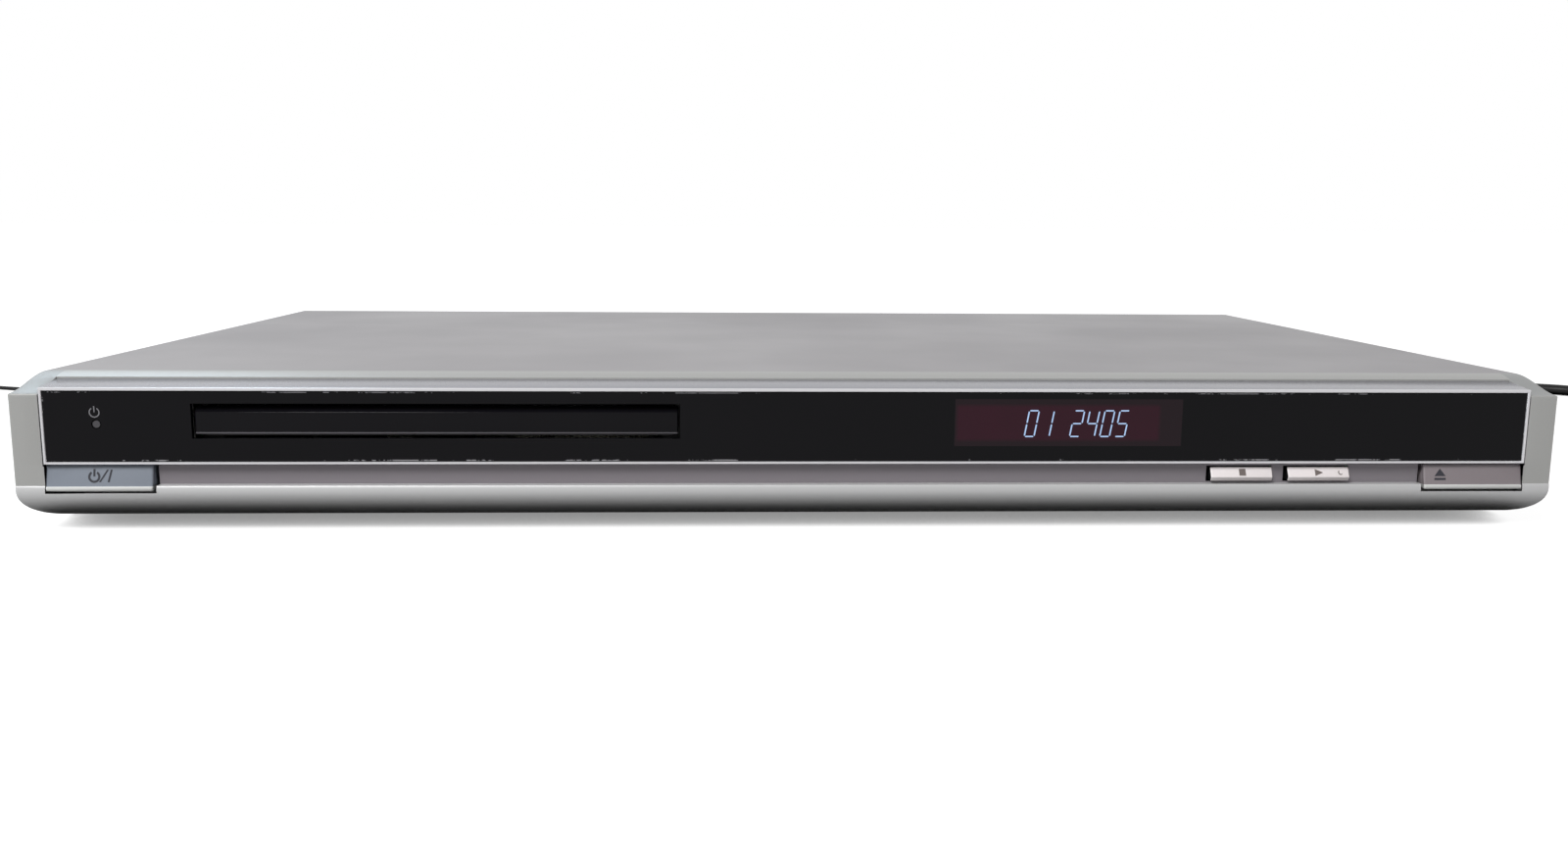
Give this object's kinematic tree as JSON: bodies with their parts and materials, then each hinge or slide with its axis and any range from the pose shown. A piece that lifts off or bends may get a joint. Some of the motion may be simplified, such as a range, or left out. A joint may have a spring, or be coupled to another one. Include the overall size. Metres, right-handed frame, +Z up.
{
  "type": "disc player with tray",
  "caption": "Slim disc player: silver cabinet, dark window with glowing display, loading tray on rack and gears, tilting traverse deck, mains and signal leads.",
  "frame": {"origin": "middle of the footprint at the underside of the feet, without the leads", "axes": "+X to the right along the front, +Y to the back, +Z up; the front faces -Y"},
  "size_m": [0.918, 0.339, 0.043],
  "materials": {
    "bottom_chassis": "zinc plated sheet",
    "top_cover": "satin silver paint",
    "rear_panel": "satin dark grey",
    "rubber_feet": "matte",
    "cover_screws": "satin",
    "front_panel": "satin silver paint",
    "window_frame": "bright silver",
    "window_lens": "gloss black",
    "display_filter": "smoked red",
    "standby_light": "clear pipe",
    "power_button": "satin",
    "open_close_button": "satin",
    "stop_button": "pearl",
    "play_button": "pearl",
    "front_board": "circuit board",
    "display_tube": "tube glass",
    "touch_switches": "black",
    "switch_board": "circuit board",
    "disc_tray": "fine grain",
    "tray_fascia": "gloss black",
    "loader_frame": "fine grain",
    "clamp_bridge": "satin",
    "disc_clamper": "natural",
    "loading_motor": "satin",
    "motor_pulley": "satin",
    "drive_belt": "matte",
    "pulley_gear": "acetal",
    "tray_gear": "acetal",
    "cam_slider": "acetal",
    "tray_switch": "black",
    "loader_screws": "zinc plated",
    "traverse_frame": "fine grain",
    "traverse_plate": "satin",
    "deck_dampers": "matte",
    "spindle_motor": "satin",
    "turntable": "fine grain",
    "turntable_pad": "matte",
    "guide_rods": "polished",
    "pickup_sled": "die cast",
    "objective_lens": "coated",
    "feed_screw": "satin",
    "feed_motor": "satin",
    "main_board": "circuit board",
    "main_board_chips": "black",
    "heat_sink": "satin",
    "power_board": "paper board",
    "transformer": "ferrite and tape",
    "capacitors": "sleeve",
    "ribbon_cables": "white",
    "socket_block": "black",
    "phono_sleeves": "plated",
    "phono_inserts": "coloured",
    "mains_inlet": "black",
    "mains_connector": "black",
    "mains_lead": "satin",
    "mains_coil": "satin",
    "mains_plug": "black",
    "signal_lead": "satin",
    "signal_coil": "satin",
    "signal_plugs": "black"
  },
  "bodies": {
    "cabinet": {"bottom_chassis": "bottom_chassis", "top_cover": "top_cover", "rear_panel": "rear_panel", "rubber_feet": "rubber_feet", "cover_screws": "cover_screws", "front_panel": "front_panel", "window_frame": "window_frame", "window_lens": "window_lens", "display_filter": "display_filter", "standby_light": "standby_light", "front_board": "front_board", "display_tube": "display_tube", "touch_switches": "touch_switches", "switch_board": "switch_board", "loader_frame": "loader_frame", "clamp_bridge": "clamp_bridge", "loading_motor": "loading_motor", "drive_belt": "drive_belt", "tray_switch": "tray_switch", "loader_screws": "loader_screws", "main_board": "main_board", "main_board_chips": "main_board_chips", "heat_sink": "heat_sink", "power_board": "power_board", "transformer": "transformer", "capacitors": "capacitors", "ribbon_cables": "ribbon_cables", "socket_block": "socket_block", "phono_sleeves": "phono_sleeves", "phono_inserts": "phono_inserts", "mains_inlet": "mains_inlet", "mains_connector": "mains_connector", "mains_lead": "mains_lead", "mains_coil": "mains_coil", "mains_plug": "mains_plug", "signal_lead": "signal_lead", "signal_coil": "signal_coil", "signal_plugs": "signal_plugs"},
    "power_key": {"power_button": "power_button"},
    "tray_key": {"open_close_button": "open_close_button"},
    "stop_key": {"stop_button": "stop_button"},
    "play_key": {"play_button": "play_button"},
    "tray": {"disc_tray": "disc_tray", "tray_fascia": "tray_fascia"},
    "reduction_gear": {"tray_gear": "tray_gear"},
    "belt_gear": {"pulley_gear": "pulley_gear"},
    "drive_pulley": {"motor_pulley": "motor_pulley"},
    "cam": {"cam_slider": "cam_slider"},
    "deck": {"traverse_frame": "traverse_frame", "traverse_plate": "traverse_plate", "deck_dampers": "deck_dampers", "spindle_motor": "spindle_motor", "guide_rods": "guide_rods", "feed_motor": "feed_motor"},
    "disc_table": {"turntable": "turntable", "turntable_pad": "turntable_pad"},
    "clamp": {"disc_clamper": "disc_clamper"},
    "pickup": {"pickup_sled": "pickup_sled", "objective_lens": "objective_lens"},
    "worm": {"feed_screw": "feed_screw"}
  },
  "joints": [
    {"name": "tray_slide", "type": "slide", "parent": "cabinet", "child": "tray", "axis": [0, -1, 0], "range_m": [0, 0.143]},
    {"name": "power_press", "type": "slide", "parent": "cabinet", "child": "power_key", "axis": [0, 1, 0], "range_m": [0, 0.0005], "stiffness_N_per_m": 400},
    {"name": "tray_press", "type": "slide", "parent": "cabinet", "child": "tray_key", "axis": [0, 1, 0], "range_m": [0, 0.0005], "stiffness_N_per_m": 400},
    {"name": "stop_press", "type": "slide", "parent": "cabinet", "child": "stop_key", "axis": [0, 1, 0], "range_m": [0, 0.0005], "stiffness_N_per_m": 400},
    {"name": "play_press", "type": "slide", "parent": "cabinet", "child": "play_key", "axis": [0, 1, 0], "range_m": [0, 0.0005], "stiffness_N_per_m": 400},
    {"name": "tray_gear_turn", "type": "hinge", "parent": "cabinet", "child": "reduction_gear", "pos_m": [-0.0574, -0.0976, 0.0247], "axis": [0, 0, 1], "continuous": true},
    {"name": "pulley_turn", "type": "hinge", "parent": "cabinet", "child": "belt_gear", "pos_m": [-0.079, -0.0976, 0.0229], "axis": [0, 0, 1], "continuous": true},
    {"name": "motor_turn", "type": "hinge", "parent": "cabinet", "child": "drive_pulley", "pos_m": [-0.117, -0.0976, 0.0213], "axis": [0, 0, 1], "continuous": true},
    {"name": "deck_tilt", "type": "hinge", "parent": "cabinet", "child": "deck", "pos_m": [-0.1004, 0.049, 0.0145], "axis": [1, 0, 0], "range_deg": [0, 3]},
    {"name": "cam_slide", "type": "slide", "parent": "cabinet", "child": "cam", "axis": [1, 0, 0], "range_m": [0, 0.0161]},
    {"name": "disc_turn", "type": "hinge", "parent": "deck", "child": "disc_table", "pos_m": [-0.1004, -0.043, 0.031], "axis": [0, 0, 1], "continuous": true},
    {"name": "clamp_turn", "type": "hinge", "parent": "cabinet", "child": "clamp", "pos_m": [-0.1004, -0.043, 0.0365], "axis": [0, 0, 1], "continuous": true},
    {"name": "pickup_slide", "type": "slide", "parent": "deck", "child": "pickup", "axis": [0, 1, 0], "range_m": [0, 0.034]},
    {"name": "worm_turn", "type": "hinge", "parent": "deck", "child": "worm", "pos_m": [-0.0644, 0, 0.0224], "axis": [0, 1, 0], "continuous": true}
  ],
  "couplings": [
    {"joint": "tray_gear_turn", "follows": "tray_slide", "rad_per_m": -111.11},
    {"joint": "pulley_turn", "follows": "tray_slide", "rad_per_m": 317.46},
    {"joint": "motor_turn", "follows": "tray_slide", "rad_per_m": 1347.1},
    {"joint": "cam_slide", "follows": "deck_tilt", "m_per_rad": 0.30558},
    {"joint": "clamp_turn", "follows": "disc_turn", "ratio": 1},
    {"joint": "worm_turn", "follows": "pickup_slide", "rad_per_m": 2094.4}
  ]
}
